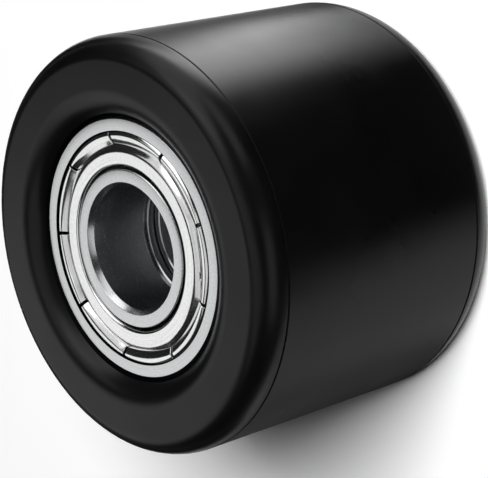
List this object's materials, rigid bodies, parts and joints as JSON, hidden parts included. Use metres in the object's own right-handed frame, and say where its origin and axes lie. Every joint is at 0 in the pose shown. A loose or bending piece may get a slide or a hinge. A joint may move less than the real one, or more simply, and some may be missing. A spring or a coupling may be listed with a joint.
{
  "type": "chain tensioner roller",
  "caption": "Black plastic roller with rounded shoulders, a recessed shielded ball bearing in each end cap and a spacer between them, for an axle through its bore.",
  "frame": {"origin": "centre of the rear end face, which the roller stands on", "axes": "+Z along the axle from the rear end face to the front end face; +X and +Y are free, as the roller is round"},
  "size_m": [0.05, 0.05, 0.0379],
  "materials": {
    "black_plastic": "moulded and turned, satin",
    "ground_bearing_steel": "fine ground",
    "pressed_shield_steel": "bright cold rolled sheet",
    "cage_sheet_steel": "pressed sheet",
    "rivet_steel": "headed, bright",
    "polished_ball_steel": "lapped mirror",
    "turned_spacer_steel": "turned"
  },
  "bodies": {
    "shell": {"roller_sleeve": "black_plastic", "rear_end_cap": "black_plastic", "rear_outer_ring": "ground_bearing_steel", "rear_outboard_shield": "pressed_shield_steel", "rear_inboard_shield": "pressed_shield_steel", "front_end_cap": "black_plastic", "front_outer_ring": "ground_bearing_steel", "front_outboard_shield": "pressed_shield_steel", "front_inboard_shield": "pressed_shield_steel"},
    "core": {"spacer_tube": "turned_spacer_steel", "rear_inner_ring": "ground_bearing_steel", "rear_spacer_washer": "turned_spacer_steel", "front_inner_ring": "ground_bearing_steel", "front_spacer_washer": "turned_spacer_steel"},
    "rear_cage": {"rear_cage_outboard_half": "cage_sheet_steel", "rear_cage_inboard_half": "cage_sheet_steel", "rear_cage_rivets": "rivet_steel"},
    "rear_ball_1": {"rear_ball_1": "polished_ball_steel"},
    "rear_ball_2": {"rear_ball_2": "polished_ball_steel"},
    "rear_ball_3": {"rear_ball_3": "polished_ball_steel"},
    "rear_ball_4": {"rear_ball_4": "polished_ball_steel"},
    "rear_ball_5": {"rear_ball_5": "polished_ball_steel"},
    "rear_ball_6": {"rear_ball_6": "polished_ball_steel"},
    "rear_ball_7": {"rear_ball_7": "polished_ball_steel"},
    "rear_ball_8": {"rear_ball_8": "polished_ball_steel"},
    "rear_ball_9": {"rear_ball_9": "polished_ball_steel"},
    "front_cage": {"front_cage_outboard_half": "cage_sheet_steel", "front_cage_inboard_half": "cage_sheet_steel", "front_cage_rivets": "rivet_steel"},
    "front_ball_1": {"front_ball_1": "polished_ball_steel"},
    "front_ball_2": {"front_ball_2": "polished_ball_steel"},
    "front_ball_3": {"front_ball_3": "polished_ball_steel"},
    "front_ball_4": {"front_ball_4": "polished_ball_steel"},
    "front_ball_5": {"front_ball_5": "polished_ball_steel"},
    "front_ball_6": {"front_ball_6": "polished_ball_steel"},
    "front_ball_7": {"front_ball_7": "polished_ball_steel"},
    "front_ball_8": {"front_ball_8": "polished_ball_steel"},
    "front_ball_9": {"front_ball_9": "polished_ball_steel"}
  },
  "joints": [
    {"name": "core_spin", "type": "hinge", "parent": "shell", "child": "core", "pos_m": [0, 0, 0.01895], "axis": [0, 0, 1], "continuous": true},
    {"name": "rear_cage_spin", "type": "hinge", "parent": "shell", "child": "rear_cage", "pos_m": [0, 0, 0.00615], "axis": [0, 0, 1], "continuous": true},
    {"name": "rear_ball_1_spin", "type": "hinge", "parent": "rear_cage", "child": "rear_ball_1", "pos_m": [0.01175, 0, 0.00615], "axis": [0, 0, 1], "continuous": true},
    {"name": "rear_ball_2_spin", "type": "hinge", "parent": "rear_cage", "child": "rear_ball_2", "pos_m": [0.009, 0.00755, 0.00615], "axis": [0, 0, 1], "continuous": true},
    {"name": "rear_ball_3_spin", "type": "hinge", "parent": "rear_cage", "child": "rear_ball_3", "pos_m": [0.00204, 0.01157, 0.00615], "axis": [0, 0, 1], "continuous": true},
    {"name": "rear_ball_4_spin", "type": "hinge", "parent": "rear_cage", "child": "rear_ball_4", "pos_m": [-0.00588, 0.01018, 0.00615], "axis": [0, 0, 1], "continuous": true},
    {"name": "rear_ball_5_spin", "type": "hinge", "parent": "rear_cage", "child": "rear_ball_5", "pos_m": [-0.01104, 0.00402, 0.00615], "axis": [0, 0, 1], "continuous": true},
    {"name": "rear_ball_6_spin", "type": "hinge", "parent": "rear_cage", "child": "rear_ball_6", "pos_m": [-0.01104, -0.00402, 0.00615], "axis": [0, 0, 1], "continuous": true},
    {"name": "rear_ball_7_spin", "type": "hinge", "parent": "rear_cage", "child": "rear_ball_7", "pos_m": [-0.00588, -0.01018, 0.00615], "axis": [0, 0, 1], "continuous": true},
    {"name": "rear_ball_8_spin", "type": "hinge", "parent": "rear_cage", "child": "rear_ball_8", "pos_m": [0.00204, -0.01157, 0.00615], "axis": [0, 0, 1], "continuous": true},
    {"name": "rear_ball_9_spin", "type": "hinge", "parent": "rear_cage", "child": "rear_ball_9", "pos_m": [0.009, -0.00755, 0.00615], "axis": [0, 0, 1], "continuous": true},
    {"name": "front_cage_spin", "type": "hinge", "parent": "shell", "child": "front_cage", "pos_m": [0, 0, 0.03175], "axis": [0, 0, 1], "continuous": true},
    {"name": "front_ball_1_spin", "type": "hinge", "parent": "front_cage", "child": "front_ball_1", "pos_m": [0.01175, 0, 0.03175], "axis": [0, 0, 1], "continuous": true},
    {"name": "front_ball_2_spin", "type": "hinge", "parent": "front_cage", "child": "front_ball_2", "pos_m": [0.009, 0.00755, 0.03175], "axis": [0, 0, 1], "continuous": true},
    {"name": "front_ball_3_spin", "type": "hinge", "parent": "front_cage", "child": "front_ball_3", "pos_m": [0.00204, 0.01157, 0.03175], "axis": [0, 0, 1], "continuous": true},
    {"name": "front_ball_4_spin", "type": "hinge", "parent": "front_cage", "child": "front_ball_4", "pos_m": [-0.00588, 0.01018, 0.03175], "axis": [0, 0, 1], "continuous": true},
    {"name": "front_ball_5_spin", "type": "hinge", "parent": "front_cage", "child": "front_ball_5", "pos_m": [-0.01104, 0.00402, 0.03175], "axis": [0, 0, 1], "continuous": true},
    {"name": "front_ball_6_spin", "type": "hinge", "parent": "front_cage", "child": "front_ball_6", "pos_m": [-0.01104, -0.00402, 0.03175], "axis": [0, 0, 1], "continuous": true},
    {"name": "front_ball_7_spin", "type": "hinge", "parent": "front_cage", "child": "front_ball_7", "pos_m": [-0.00588, -0.01018, 0.03175], "axis": [0, 0, 1], "continuous": true},
    {"name": "front_ball_8_spin", "type": "hinge", "parent": "front_cage", "child": "front_ball_8", "pos_m": [0.00204, -0.01157, 0.03175], "axis": [0, 0, 1], "continuous": true},
    {"name": "front_ball_9_spin", "type": "hinge", "parent": "front_cage", "child": "front_ball_9", "pos_m": [0.009, -0.00755, 0.03175], "axis": [0, 0, 1], "continuous": true}
  ],
  "couplings": [
    {"joint": "rear_cage_spin", "follows": "core_spin", "ratio": 0.39868},
    {"joint": "rear_ball_1_spin", "follows": "core_spin", "ratio": -2.3661},
    {"joint": "rear_ball_2_spin", "follows": "core_spin", "ratio": -2.3661},
    {"joint": "rear_ball_3_spin", "follows": "core_spin", "ratio": -2.3661},
    {"joint": "rear_ball_4_spin", "follows": "core_spin", "ratio": -2.3661},
    {"joint": "rear_ball_5_spin", "follows": "core_spin", "ratio": -2.3661},
    {"joint": "rear_ball_6_spin", "follows": "core_spin", "ratio": -2.3661},
    {"joint": "rear_ball_7_spin", "follows": "core_spin", "ratio": -2.3661},
    {"joint": "rear_ball_8_spin", "follows": "core_spin", "ratio": -2.3661},
    {"joint": "rear_ball_9_spin", "follows": "core_spin", "ratio": -2.3661},
    {"joint": "front_cage_spin", "follows": "core_spin", "ratio": 0.39868},
    {"joint": "front_ball_1_spin", "follows": "core_spin", "ratio": -2.3661},
    {"joint": "front_ball_2_spin", "follows": "core_spin", "ratio": -2.3661},
    {"joint": "front_ball_3_spin", "follows": "core_spin", "ratio": -2.3661},
    {"joint": "front_ball_4_spin", "follows": "core_spin", "ratio": -2.3661},
    {"joint": "front_ball_5_spin", "follows": "core_spin", "ratio": -2.3661},
    {"joint": "front_ball_6_spin", "follows": "core_spin", "ratio": -2.3661},
    {"joint": "front_ball_7_spin", "follows": "core_spin", "ratio": -2.3661},
    {"joint": "front_ball_8_spin", "follows": "core_spin", "ratio": -2.3661},
    {"joint": "front_ball_9_spin", "follows": "core_spin", "ratio": -2.3661}
  ]
}
